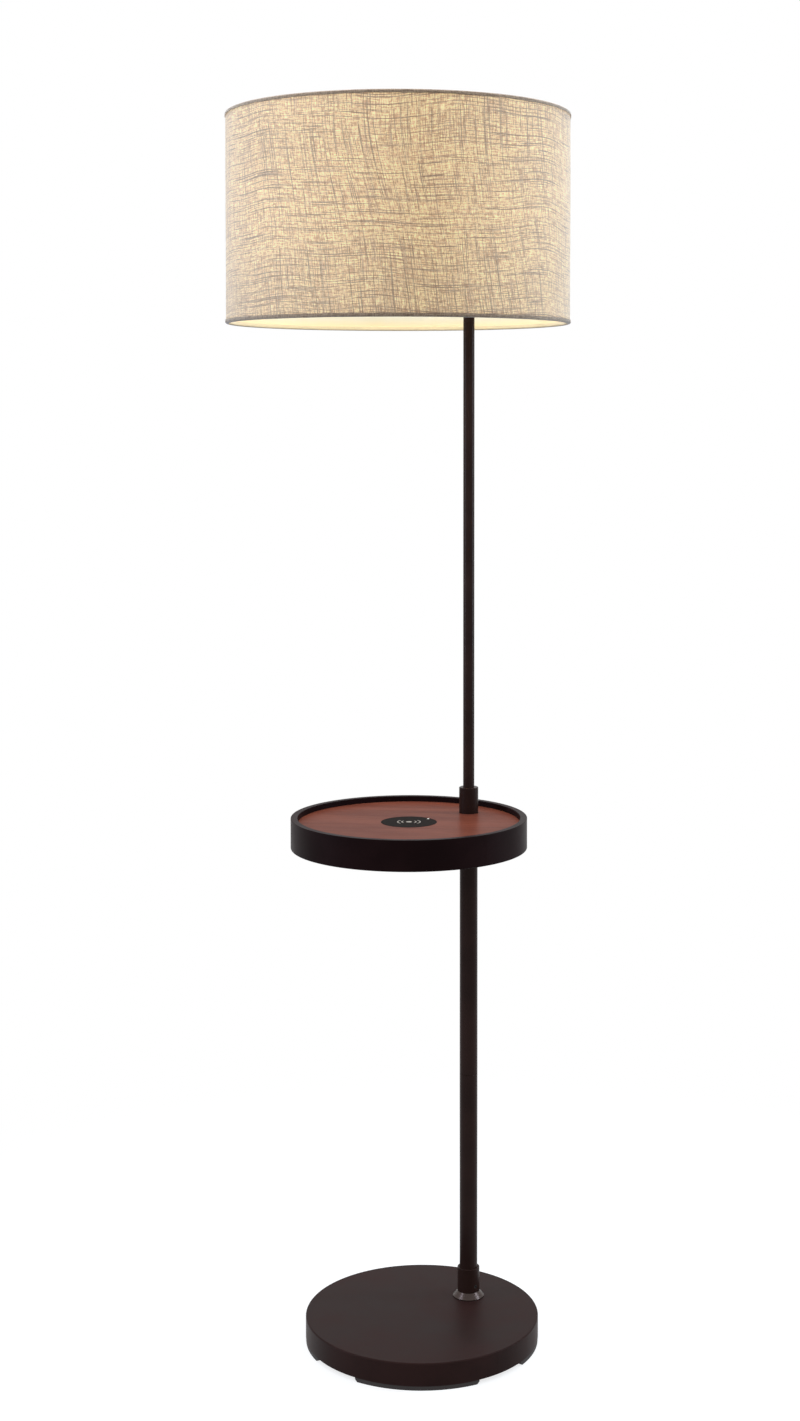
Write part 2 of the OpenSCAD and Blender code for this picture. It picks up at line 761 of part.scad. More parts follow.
module coil_ferrite() {
  color("#3a3a3c") translate([0, table_back, ferrite_z]) cylinder(d = coil_d + 3, h = ferrite_t);
}

module charger_board() {
  chip_h = ferrite_z - pcb_top;
  color("#1f5a3a") translate([0, table_back, pcb_z]) cylinder(d = pad_inner_d - 2 * fit_gap, h = pcb_t);
  color("#1f5a3a") translate([0, table_back, pcb_top - sink]) {
    for (spot = [[-14, -6], [6, -12], [4, 8]]) {
      translate([spot[0], spot[1], 0]) cube([9, 7, chip_h + sink]);
    }
  }
}

module pad_light() {
  color("#e8efe4") translate([0, table_back + light_back, pcb_top]) cylinder(d = light_d, h = pad_top - pcb_top);
}

module power_module() {
  color("#333333") translate([-module_w / 2, module_back - module_l, tray_base_top])
    cube([module_w, module_l, module_h]);
}

module module_lead() {
  color("#777777") rod_forward(small_lead_d, pole_back - lead_d / 2, module_back, lead_level);
}

module charger_lead() {
  color("#777777") {
    rod_forward(small_lead_d, module_back - module_l, small_lead_y + small_bend_r, lead_level);
    quarter_bend(small_lead_d, small_lead_y + small_bend_r, lead_level + small_bend_r, small_bend_r, 180);
    translate([0, small_lead_y, lead_level + small_bend_r])
      cylinder(d = small_lead_d, h = pcb_z - lead_level - small_bend_r);
  }
}

// ---------------------------------------------------------------- upper pole and arm

module upper_pole_bottom() {
  color(finish) at_pole() pole_tube(upper_pole_d, upper_bore_d, pole_seat, upper_seam_z - pole_seat);
}

module upper_pole_coupler() {
  color(steel) at_pole()
    stub(upper_bore_d - 2 * fit_gap, nipple_bore, upper_seam_z - coupler_len / 2, coupler_len);
}

module upper_pole_top() {
  color(finish) at_pole() pole_tube(upper_pole_d, upper_bore_d, upper_seam_z, arm_seam_z - upper_seam_z);
}

module arm_coupler() {
  low = arm_seam_z - coupler_len / 2;
  color(steel) at_pole() stub(upper_bore_d - 2 * fit_gap, nipple_bore, low, coupler_len / 2 + arm_straight - 2);
}

module offset_arm() {
  color(finish) difference() {
    arm_rod(upper_pole_d, 0);
    arm_rod(upper_bore_d, 1);
  }
}

// ---------------------------------------------------------------- lamp holder

module socket_nipple() {
  color(steel) difference() {
    union() {
      translate([0, 0, arm_rise_z + 1]) cylinder(d = upper_bore_d - 2 * fit_gap, h = arm_straight - 1);
      translate([0, 0, cap_seat - sink]) cylinder(d = nipple_d, h = cap_neck_h + sink);
    }
    translate([0, 0, arm_rise_z]) cylinder(d = nipple_bore, h = arm_straight + cap_neck_h + 1);
  }
}

module socket_cap() {
  outer_r = socket_d / 2;
  dome_z = cap_seat + cap_dome_r;
  color(brass) difference() {
    rotate_extrude() union() {
      translate([0, cap_seat]) square([cap_neck_r, cap_neck_h]);
      difference() {
        union() {
          translate([cap_neck_r, dome_z]) circle(r = cap_dome_r);
          translate([0, dome_z]) square([outer_r, cap_top - dome_z]);
        }
        translate([cap_neck_r, dome_z]) circle(r = cap_dome_r - socket_wall);
        translate([0, dome_z]) square([outer_r - socket_wall, cap_h]);
        translate([-outer_r, cap_seat - 1]) square([outer_r + cap_neck_r, cap_h + 2]);
        translate([0, cap_top]) square([outer_r + 1, cap_h]);
      }
    }
    translate([0, 0, cap_seat - 1]) cylinder(d = nipple_d + 2 * fit_gap, h = cap_neck_h + 2);
  }
}

module socket_shell() {
  color(brass) difference() {
    union() {
      translate([0, 0, shell_z]) cylinder(r = shell_r, h = shell_top - shell_z);
      translate([0, 0, shoulder_z]) cylinder(d = shoulder_d, h = shoulder_t);
    }
    translate([0, 0, shell_z - 1]) cylinder(r = shell_r - socket_wall, h = shell_top - shell_z + 2);
    translate([0, 0, stem_z]) rotate([90, 0, 0]) cylinder(d = stem_d + 8 * fit_gap, h = socket_d);
  }
}

module socket_insulator() {
  color(phenolic) difference() {
    translate([0, 0, insulator_z]) cylinder(r = insulator_r, h = insulator_top - insulator_z);
    translate([0, 0, cavity_z]) cylinder(r = screw_shell_r + screw_shell_wall + fit_gap, h = shell_top_up);
    translate([0, -stem_in, stem_z]) rotate([90, 0, 0]) cylinder(d = stem_d + 2 * stem_gap, h = socket_d);
  }
}

module socket_screw_shell() {
  floor_t = 0.8;
  top = insulator_top - 1;
  outer_d = 2 * (screw_shell_r + screw_shell_wall);
  color(brass) {
    tube(outer_d, 2 * screw_shell_r, cavity_z, top - cavity_z);
    tube(outer_d, 16, cavity_z, floor_t);
  }
}

module centre_contact() {
  color(brass) {
    translate([0, 0, cavity_z]) cylinder(d = 10, h = contact_t / 2);
    translate([0, 0, cavity_z]) cylinder(d = 5, h = contact_t);
  }
}

module switch_stem() {
  color(brass) rod_forward(stem_d, -stem_in - 0.3, -stem_out, stem_z);
}

module switch_knob() {
  flute_d = knob_d * 0.16;
  color("#15110f") translate([0, -knob_y, stem_z]) rotate([90, 0, 0]) difference() {
    union() {
      cylinder(d = knob_d * 0.7, h = 2);
      translate([0, 0, 2]) cylinder(d = knob_d, h = knob_l - 3);
      translate([0, 0, knob_l - 1]) cylinder(d1 = knob_d, d2 = knob_d - 2, h = 1);
    }
    translate([0, 0, -1]) cylinder(d = stem_d, h = stem_out - knob_y + 1);
    for (i = [0 : knob_flutes - 1]) {
      rotate([0, 0, i * 360 / knob_flutes]) translate([knob_d / 2, 0, 2.8])
        cylinder(d = flute_d, h = knob_l, $fn = 24);
    }
  }
}

module shade_clamp_ring() {
  color(brass) difference() {
    rotate_extrude() round_section(shell_r + fit_gap, clamp_d / 2, clamp_z, clamp_z + clamp_h, 0.5);
    for (i = [0 : 17]) {
      rotate([0, 0, i * 20]) translate([clamp_d / 2 + 0.3, 0, clamp_z - 1]) cylinder(d = 2, h = clamp_h + 2);
    }
  }
}

// ---------------------------------------------------------------- shade

module ring_wire(z) {
  translate([0, 0, z]) rotate_extrude() translate([ring_r, 0]) circle(d = ring_wire_d);
}

module spoke() {
  run = ring_r - spoke_start_r;
  rise = top_ring_z - spoke_start_z;
  tilt = atan2(run, rise);
  translate([spoke_start_r, 0, spoke_start_z]) rotate([0, tilt, 0]) cylinder(d = spoke_d, h = norm([run, rise]));
}

module at_spokes() {
  for (i = [0 : spoke_count - 1]) {
    rotate([0, 0, 90 + i * 360 / spoke_count]) children();
  }
}

module shade_top_frame() {
  cut_h = clamp_h + spoke_d;
  color("#e5e0d6") {
    ring_wire(top_ring_z);
    difference() {
      union() {
        translate([0, 0, hub_z]) cylinder(d = hub_d, h = hub_t);
        at_spokes() spoke();
      }
      translate([0, 0, hub_z - cut_h]) cylinder(r = shell_r + 2 * fit_gap, h = hub_t + 2 * cut_h);
      translate([0, 0, hub_z - cut_h]) cylinder(d = 1.4 * hub_d, h = cut_h);
      translate([0, 0, clamp_z]) cylinder(d = clamp_d + 0.4, h = clamp_h + 2);
    }
  }
}

module shade_bottom_ring() {
  color("#e5e0d6") ring_wire(shade_z + ring_rise);
}

module shade_liner() {
  color("#f2ead2") tube(2 * liner_r, 2 * (liner_r - liner_t), shade_z + trim_t, shade_h - 2 * trim_t);
}

module shade_linen() {
  color(linen) tube(2 * linen_r, 2 * liner_r, shade_z + trim_t, shade_h - 2 * trim_t);
}

// Half section of a trim that wraps the upper edge at height 0, with its legs hanging down
module trim_section() {
  translate([linen_r, -trim_out_h]) square([trim_t, trim_out_h]);
  translate([trim_inner_r - trim_t, -trim_in_h]) square([trim_t, trim_in_h]);
  translate([trim_inner_r - trim_t, -trim_t]) square([shade_r - trim_inner_r + trim_t, trim_t]);
}

module shade_top_trim() {
  color("#9b8f80") difference() {
    translate([0, 0, shade_top]) rotate_extrude() trim_section();
    at_spokes() translate([ring_r - 15, -spoke_notch_w / 2, shade_top - trim_in_h - 1])
      cube([15, spoke_notch_w, trim_in_h + 2]);
  }
}

module shade_bottom_trim() {
  color("#9b8f80") translate([0, 0, shade_z]) rotate_extrude() mirror([0, 1]) trim_section();
}

// ---------------------------------------------------------------- bulb

module bulb_base() {
  tip_h = 3;
  tip_d = 10;
  color(steel) translate([0, 0, bulb_z]) {
    cylinder(d1 = tip_d - 3, d2 = tip_d, h = 1);
    translate([0, 0, 1]) cylinder(d1 = tip_d, d2 = bulb_cap_d, h = tip_h);
    translate([0, 0, 1 + tip_h]) cylinder(d = bulb_cap_d, h = bulb_cap_h - 1 - tip_h);
  }
}

module bulb_body() {
  low = bulb_z + bulb_cap_h;
  color("#e9e6de") rotate_extrude() polygon([
    [0, low], [bulb_cap_d / 2, low], [bulb_cap_d / 2 + 1.5, low + 6], [bulb_d * 0.36, low + 18],
    [bulb_d * 0.44, bulb_split], [0, bulb_split]
  ]);
}

module bulb_globe() {
  centre_z = bulb_top - bulb_d / 2;
  color("#fff3d8") difference() {
    translate([0, 0, centre_z]) sphere(d = bulb_d);
    translate([0, 0, centre_z]) sphere(d = bulb_d - 3);
    translate([0, 0, bulb_split - bulb_d]) cylinder(d = 2 * bulb_d, h = bulb_d);
  }
}

// ---------------------------------------------------------------- mains lead

module mains_lead() {
  start_y = grommet_face - base_wall - grommet_inner_t - 1;
  bend_z = grommet_z + lead_bend_r;
  color("#5a5a5a") {
    rod_forward(lead_d, start_y, pole_back + lead_bend_r, grommet_z);
    quarter_bend(lead_d, pole_back + lead_bend_r, bend_z, lead_bend_r, 180);
    at_pole() translate([0, 0, bend_z]) cylinder(d = lead_d, h = arm_bend_z - bend_z);
    quarter_bend(lead_d, pole_back - arm_r, arm_bend_z, arm_r, 0);
    rod_forward(lead_d, pole_back - arm_r, arm_r, arm_z);
    quarter_bend(lead_d, arm_r, arm_rise_z, arm_r, 180);
    translate([0, 0, arm_rise_z]) cylinder(d = lead_d, h = insulator_z - arm_rise_z);
  }
}

base_cover();
base_weight();
base_plate();
base_plate_screws();
foot_pads();
cord_grommet();
base_nipple();
base_washer();
base_nut();
foot_flange();
foot_collar();
collar_screw();
lower_pole_bottom();
lower_pole_coupler();
lower_pole_top();
pole_top_insert();
tray_rim();
tray_top();
tray_base();
tray_screws();
tray_spacer();
tray_nipple();
tray_collar();
pad_cap();
pad_housing();
pad_screws();
charge_coil();
coil_ferrite();
charger_board();
pad_light();
power_module();
module_lead();
charger_lead();
upper_pole_bottom();
upper_pole_coupler();
upper_pole_top();
arm_coupler();
offset_arm();
socket_nipple();
socket_cap();
socket_shell();
socket_insulator();
socket_screw_shell();
centre_contact();
switch_stem();
switch_knob();
shade_clamp_ring();
shade_top_frame();
shade_bottom_ring();
shade_liner();
shade_linen();
shade_top_trim();
shade_bottom_trim();
bulb_base();
bulb_body();
bulb_globe();
mains_lead();
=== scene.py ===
"""Floor lamp with a round walnut table half way up its pole and a lit linen drum shade.

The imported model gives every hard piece. The cloth of the shade and its rolled trims are made here, over
their plain solids, and every piece gets its finish. Metres throughout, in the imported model's frame.
"""
import json
import math

import bpy
import numpy as np
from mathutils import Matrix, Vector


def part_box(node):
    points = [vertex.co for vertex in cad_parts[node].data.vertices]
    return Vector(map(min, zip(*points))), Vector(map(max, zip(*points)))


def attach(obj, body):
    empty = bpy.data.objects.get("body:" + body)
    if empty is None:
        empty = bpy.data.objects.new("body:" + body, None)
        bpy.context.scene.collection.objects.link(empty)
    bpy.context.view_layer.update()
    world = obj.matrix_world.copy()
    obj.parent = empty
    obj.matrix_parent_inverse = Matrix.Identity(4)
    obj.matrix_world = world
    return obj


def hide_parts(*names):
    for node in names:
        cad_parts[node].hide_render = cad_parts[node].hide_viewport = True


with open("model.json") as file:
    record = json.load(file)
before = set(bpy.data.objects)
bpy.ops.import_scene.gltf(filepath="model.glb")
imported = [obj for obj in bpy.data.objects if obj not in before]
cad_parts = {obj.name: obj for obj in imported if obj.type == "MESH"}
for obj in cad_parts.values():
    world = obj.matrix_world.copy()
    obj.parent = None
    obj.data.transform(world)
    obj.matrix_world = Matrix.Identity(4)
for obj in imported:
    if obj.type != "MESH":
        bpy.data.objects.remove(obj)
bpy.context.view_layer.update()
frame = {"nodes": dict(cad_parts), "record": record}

# ---------------------------------------------------------------- places taken from the frame


def middle(node):
    """The centre of a node's box in x and y."""
    low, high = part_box(node)
    return (low[0] + high[0]) / 2, (low[1] + high[1]) / 2


LINEN_LOW, LINEN_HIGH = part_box("shade_linen")
TRIM_LOW, TRIM_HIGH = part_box("shade_bottom_trim")
LINER_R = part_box("shade_liner")[1][0]
LINEN_R = LINEN_HIGH[0]
TRIM_R = TRIM_HIGH[0]
SHADE_BOTTOM = TRIM_LOW[2]
POLE_X, POLE_Y = middle("lower_pole_top")
PAD_X, PAD_Y = middle("pad_cap")
BASE_X, BASE_Y = middle("base_cover")
BASE_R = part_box("base_cover")[1][0] - BASE_X
BULB_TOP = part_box("bulb_globe")[1][2]

# ---------------------------------------------------------------- camera

# The picture is FRAME_W by FRAME_H pixels. Its camera looked down a little, by CAMERA_PITCH, and its axis
# met the picture at CENTRE_PX. Names with PX are in pixels and SENSOR is in millimetres. The other lengths
# are in metres, and the angles in radians.
FRAME_W, FRAME_H = 800, 1421
FOCAL_PX = 2100.1
CENTRE_PX = (433.19, 473.53)
CAMERA_AZIMUTH = math.radians(50.34)
CAMERA_PITCH = 0.0291
CAMERA_Z = 1.1172
POLE_DEPTH = 2.5544
POLE_SIDE = 0.0434
SENSOR = 36.0
FAR_CLIP = 50


def make_camera():
    """A camera with the pole POLE_SIDE to the right of its axis and POLE_DEPTH away along the floor."""
    right = np.array([math.cos(CAMERA_AZIMUTH), math.sin(CAMERA_AZIMUTH)])
    ahead = np.array([-math.sin(CAMERA_AZIMUTH), math.cos(CAMERA_AZIMUTH)])
    place = np.array([POLE_X, POLE_Y]) - POLE_SIDE * right - POLE_DEPTH * ahead
    data = bpy.data.cameras.new("camera")
    data.sensor_width = SENSOR
    data.lens = FOCAL_PX / FRAME_H * SENSOR
    data.shift_x = (FRAME_W / 2 - CENTRE_PX[0]) / FRAME_H
    data.shift_y = (CENTRE_PX[1] - FRAME_H / 2) / FRAME_H
    data.clip_end = FAR_CLIP
    camera = bpy.data.objects.new("camera", data)
    camera.location = (place[0], place[1], CAMERA_Z)
    camera.rotation_euler = (math.radians(90) - CAMERA_PITCH, 0, CAMERA_AZIMUTH)
    bpy.context.scene.collection.objects.link(camera)
    bpy.context.scene.camera = camera


# ---------------------------------------------------------------- node trees

# Depth of the relief of a paint's or a plastic's skin, and of cloth.
FINE_BUMP = 0.0001
CLOTH_BUMP = 0.0003


class Tree:
    """Short names for building one material's nodes."""

    def __init__(self, name):
        self.material = bpy.data.materials.new(name)
        self.material.use_nodes = True
        self.nodes = self.material.node_tree.nodes
        self.links = self.material.node_tree.links
        self.shader = self.nodes["Principled BSDF"]
        self.output = self.nodes["Material Output"]

    def add(self, kind, **settings):
        """Adds a node. A setting is one of its attributes, or else fills the input of that name."""
        node = self.nodes.new(kind)
        for key, value in settings.items():
            if hasattr(node, key):
                setattr(node, key, value)
            else:
                self.put(node, key.replace("_", " "), value)
        return node

    def put(self, node, socket, value):
        """Fills an input with a number, a colour or another node's output."""
        target = node.inputs[socket]
        if isinstance(value, bpy.types.NodeSocket):
            self.links.new(value, target)
        else:
            target.default_value = value

    def set(self, **values):
        """Fills inputs of the main shader."""
        for key, value in values.items():
            self.put(self.shader, key.replace("_", " "), value)

    def coords(self, kind="Object"):
        """The position on the piece, or on its UV map."""
        return self.add("ShaderNodeTexCoord").outputs[kind]

    def mapped(self, vector, scale=(1, 1, 1), turn=0.0, place=(0, 0, 0)):
        """Moves, then turns about z, then scales a position."""
        node = self.add("ShaderNodeMapping", vector_type="TEXTURE")
        self.put(node, "Vector", vector)
        self.put(node, "Location", place)
        self.put(node, "Rotation", (0, 0, turn))
        self.put(node, "Scale", tuple(1 / s for s in scale))
        return node.outputs["Vector"]

    def noise(self, vector, scale, detail=2.0, rough=0.5):
        """A cloudy value, finer for a higher scale. A scale of three numbers draws the clouds out."""
        if isinstance(scale, tuple):
            vector, scale = self.mapped(vector, scale), 1.0
        node = self.add("ShaderNodeTexNoise")
        self.put(node, "Vector", vector)
        self.put(node, "Scale", scale)
        self.put(node, "Detail", detail)
        self.put(node, "Roughness", rough)
        return node.outputs["Fac"]

    def ramp(self, value, low, high, out_low=0.0, out_high=1.0):
        """A smooth step from out_low at low to out_high at high."""
        node = self.add("ShaderNodeMapRange", interpolation_type="SMOOTHSTEP")
        self.put(node, "Value", value)
        node.inputs["From Min"].default_value = low
        node.inputs["From Max"].default_value = high
        node.inputs["To Min"].default_value = out_low
        node.inputs["To Max"].default_value = out_high
        return node.outputs["Result"]

    def maths(self, operation, a, b=0.0):
        """A sum on one or two values."""
        node = self.add("ShaderNodeMath", operation=operation)
        self.put(node, 0, a)
        self.put(node, 1, b)
        return node.outputs[0]

    def mix(self, factor, a, b, blend="MIX"):
        """Mixes two colours."""
        node = self.add("ShaderNodeMix", data_type="RGBA", blend_type=blend)
        self.put(node, 0, factor)
        self.put(node, 6, a)
        self.put(node, 7, b)
        return node.outputs[2]

    def tint(self, colour, mask, share, other):
        """Mixes a share of another colour in where the mask is 1."""
        return self.mix(self.maths("MULTIPLY", mask, share), colour, other)

    def grey(self, value):
        """A value as a grey colour."""
        node = self.add("ShaderNodeCombineColor")
        for channel in ("Red", "Green", "Blue"):
            self.put(node, channel, value)
        return node.outputs[0]

    def vector(self, operation, a, b=None):
        """The node of a sum on one or two positions."""
        node = self.add("ShaderNodeVectorMath", operation=operation)
        self.put(node, 0, a)
        if b is not None:
            self.put(node, 1, b)
        return node

    def shifted(self, place, **moves):
        """A position moved along the named axes."""
        shift = self.add("ShaderNodeCombineXYZ")
        for axis, value in moves.items():
            self.put(shift, axis, value)
        return self.vector("ADD", place, shift.outputs[0]).outputs[0]

    def length(self, place):
        """How far a position lies from the middle."""
        return self.vector("LENGTH", place).outputs["Value"]

    def along(self, place, axis):
        """One of a position's X, Y and Z."""
        node = self.add("ShaderNodeSeparateXYZ")
        self.put(node, 0, place)
        return node.outputs[axis]

    def bump(self, height, strength, distance=FINE_BUMP):
        """Gives the surface a fine relief."""
        node = self.add("ShaderNodeBump")
        self.put(node, "Height", height)
        self.put(node, "Strength", strength)
        self.put(node, "Distance", distance)
        self.links.new(node.outputs["Normal"], self.shader.inputs["Normal"])


def rgb(*levels):
    """A colour of three levels from 0 to 255 as on a screen, as the linear colour that shaders take."""
    shares = [level / 255 for level in levels]
    linear = [c / 12.92 if c <= 0.0404 else ((c + 0.055) / 1.055) ** 2.4 for c in shares]
    return (*linear, 1.0)


def darker(colour, share):
    """The same colour with each part brought down to a share."""
    return (*(c * share for c in colour[:3]), 1.0)


# ---------------------------------------------------------------- finishes


def bronze(name, tone, lift, rough, shine):
    """Oil-rubbed bronze paint: a dark brown coat with a faint cloudy mottle and an orange-peel skin."""
    t = Tree(name)
    where = t.coords()
    cloud = t.noise(where, 14, 4, 0.6)
    skin = t.noise(where, 900, 2, 0.5)
    t.set(Base_Color=t.mix(t.ramp(cloud, 0.35, 0.7), rgb(*tone), rgb(*lift)))
    t.set(Roughness=t.ramp(cloud, 0.3, 0.75, rough - 0.04, rough + 0.06))
    t.set(Specular_IOR_Level=shine)
    t.bump(skin, 0.10)
    return t.material


def satin_metal(name, colour, rough):
    """Turned or plated metal with fine tool marks round its axis."""
    t = Tree(name)
    where = t.coords()
    marks = t.noise(where, (30, 30, 2500), 2, 0.6)
    smear = t.noise(where, 60, 3, 0.6)
    t.set(Base_Color=t.mix(t.ramp(smear, 0.3, 0.7), colour, darker(colour, 0.82)))
    t.set(Metallic=1.0)
    t.set(Roughness=t.ramp(marks, 0.3, 0.7, rough - 0.05, rough + 0.07))
    t.bump(marks, 0.08)
    return t.material


def cast_iron():
    """Rough sand-cast iron."""
    t = Tree("cast_iron")
    sand = t.noise(t.coords(), 450, 5, 0.7)
    t.set(Base_Color=t.mix(t.ramp(sand, 0.3, 0.7), rgb(44, 44, 46), rgb(78, 77, 77)))
    t.set(Metallic=0.6)
    t.set(Roughness=0.75)
    t.bump(sand, 0.6, 0.0005)
    return t.material


def moulded(name, colour, rough):
    """Moulded rubber or plastic with a fine pebbled skin."""
    t = Tree(name)
    where = t.coords()
    skin = t.noise(where, 1200, 2, 0.5)
    cloud = t.noise(where, 25, 3, 0.5)
    t.set(Base_Color=t.mix(t.ramp(cloud, 0.3, 0.7), darker(colour, 0.8), colour))
    t.set(Roughness=t.ramp(skin, 0.3, 0.7, rough - 0.06, rough + 0.06))
    t.bump(skin, 0.15)
    return t.material


# The board's grain runs nearly level across the photograph.
GRAIN_TURN = CAMERA_AZIMUTH - 0.12
GRAIN_WANDER = 0.035


def walnut():
    """Walnut veneer under a satin lacquer: long grain lines, broad figure and short open pores."""
    t = Tree("walnut")
    where = t.mapped(t.coords(), turn=GRAIN_TURN)
    wander = t.noise(where, (3, 9, 1), 2, 0.5)
    along = t.shifted(where, Y=t.maths("MULTIPLY", wander, GRAIN_WANDER))
    figure = t.noise(along, (5, 42, 1), 3, 0.55)
    lines = t.noise(along, (11, 260, 1), 4, 0.6)
    fine = t.noise(along, (40, 1300, 1), 3, 0.6)
    pores = t.ramp(t.noise(along, (90, 1700, 1), 1, 0.5), 0.66, 0.74)
    base = t.mix(t.ramp(figure, 0.34, 0.66), rgb(100, 52, 40), rgb(118, 64, 49))
    base = t.mix(t.ramp(lines, 0.54, 0.75, 0.0, 0.6), base, rgb(84, 44, 34))
    base = t.mix(t.ramp(lines, 0.45, 0.25, 0.0, 0.5), base, rgb(134, 84, 62))
    base = t.mix(t.ramp(fine, 0.35, 0.7, 0.0, 0.3), base, rgb(92, 50, 38))
    base = t.tint(base, pores, 0.5, rgb(60, 32, 26))
    t.set(Base_Color=base)
    t.set(Roughness=t.ramp(fine, 0.3, 0.7, 0.33, 0.40))
    t.set(Specular_IOR_Level=0.015)
    t.bump(t.maths("SUBTRACT", t.maths("MULTIPLY", fine, 0.4), pores), 0.15)
    return t.material


# The pad's mark: the radius of its dot, the radii of its arcs and their line width.
DOT_R = 0.0035
ARC_RADII = (0.0085, 0.0135)
ARC_W = 0.0012


def pad_top():
    """Dark grey soft-touch disc with a plain mark for its middle: a dot between two pairs of arcs.

    An arc is the part of a circle that lies nearer the sides than the front or back, seen from the side
    of the lamp that the photograph shows. The mark stays where it is on the disc."""
    t = Tree("pad_top")
    where = t.mapped(t.coords(), place=(PAD_X, PAD_Y, 0))
    radius = t.length(t.vector("MULTIPLY", where, (1, 1, 0)).outputs[0])
    skin = t.noise(t.coords(), 1500, 2, 0.5)

    def ring(at):
        """1 on a thin circle of radius at, 0 off it."""
        off = t.maths("ABSOLUTE", t.maths("SUBTRACT", radius, at))
        return t.ramp(off, ARC_W / 2 * 1.4, ARC_W / 2 * 0.6)

    facing = t.mapped(where, turn=CAMERA_AZIMUTH)
    across, deep = (t.maths("ABSOLUTE", t.along(facing, axis)) for axis in "XY")
    beside = t.ramp(t.maths("SUBTRACT", across, deep), 0.0, 0.001)
    arcs = t.maths("MULTIPLY", beside, t.maths("MAXIMUM", *map(ring, ARC_RADII)))
    marks = t.maths("MAXIMUM", arcs, t.ramp(radius, DOT_R + 0.0005, DOT_R - 0.0005))
    t.set(Base_Color=t.tint(rgb(30, 26, 24), marks, 0.7, rgb(200, 192, 180)))
    t.set(Roughness=t.ramp(skin, 0.3, 0.7, 0.62, 0.74))
    t.set(Specular_IOR_Level=0.02)
    t.bump(skin, 0.12)
    return t.material


def glowing(name, colour, strength, rough=0.4):
    """A pale frosted piece that gives light."""
    t = Tree(name)
    haze = t.noise(t.coords(), 35, 3, 0.5)
    t.set(Base_Color=t.mix(t.ramp(haze, 0.3, 0.7), colour, darker(colour, 0.96)))
    t.set(Roughness=rough)
    t.set(Emission_Color=colour, Emission_Strength=strength)
    return t.material


def circuit():
    """Green board with paler tracks."""
    t = Tree("circuit_board")
    cells = t.add("ShaderNodeTexVoronoi", distance="CHEBYCHEV")
    t.put(cells, "Vector", t.coords())
    t.put(cells, "Scale", 260)
    track = t.ramp(cells.outputs["Distance"], 0.32, 0.4)
    t.set(Base_Color=t.mix(track, rgb(28, 92, 60), rgb(60, 130, 86)))
    t.set(Roughness=0.4)
    return t.material


# The upright threads lean by THREAD_LEAN, in radians, and both ways wander by up to these lengths.
THREAD_LEAN = 0.13
WARP_SWAY = 0.045
WEFT_SAG = 0.034


def weave(t):
    """The cloth's thread pattern from its own UV map, in metres round the shade and up it.

    Gives values from 0 to 1: the fine weave (1 is a thin, open place), the coarser threads, the long dark
    slubs of both ways, and short dark flecks. Warp threads lean and wander, and weft threads sag a little
    in waves."""
    uv = t.coords("UV")
    level = t.shifted(
        uv,
        X=t.maths("MULTIPLY", t.noise(uv, (5, 4, 1), 1, 0.5), WARP_SWAY),
        Y=t.maths("MULTIPLY", t.noise(uv, (6, 2, 1), 1, 0.5), WEFT_SAG),
    )
    upright = t.mapped(level, turn=THREAD_LEAN)

    def threads(wide, long, detail, rough):
        """Noise drawn out along the warp, and the same along the weft."""
        warp = t.noise(upright, (wide, long, 1), detail, rough)
        weft = t.noise(level, (long, wide, 1), detail, rough)
        return warp, weft

    def both(wide, long, low, high, warp_share=1.0):
        """The stronger of the two ways' threads, for noise scales wide across and long along them."""
        warp, weft = (t.ramp(way, low, high) for way in threads(wide, long, 1, 0.5))
        return t.maths("MAXIMUM", t.maths("MULTIPLY", warp, warp_share), weft)

    halves = [t.maths("MULTIPLY", way, 0.5) for way in threads(760, 100, 2, 0.8)]
    fine = t.ramp(t.maths("ADD", *halves), 0.41, 0.59)
    thick = both(860, 16, 0.58, 0.65)
    slub = t.maths("MAXIMUM", both(740, 6, 0.617, 0.648, 0.85), both(820, 14, 0.635, 0.665, 0.85))
    fleck = t.ramp(t.noise(level, (600, 900, 1), 1, 0.5), 0.62, 0.72)
    return fine, thick, slub, fleck


CLOTH_SKIN = {"Roughness": 0.9, "Sheen_Weight": 0.75, "Sheen_Roughness": 0.5}
# The painted glow fades from full, GLOW_ABOVE over the shade's bottom, to its least, GLOW_BELOW under it: a
# painted falloff of the bulb's light.
GLOW_ABOVE = 0.13
GLOW_BELOW = 0.02
LEAST_GLOW = 0.77


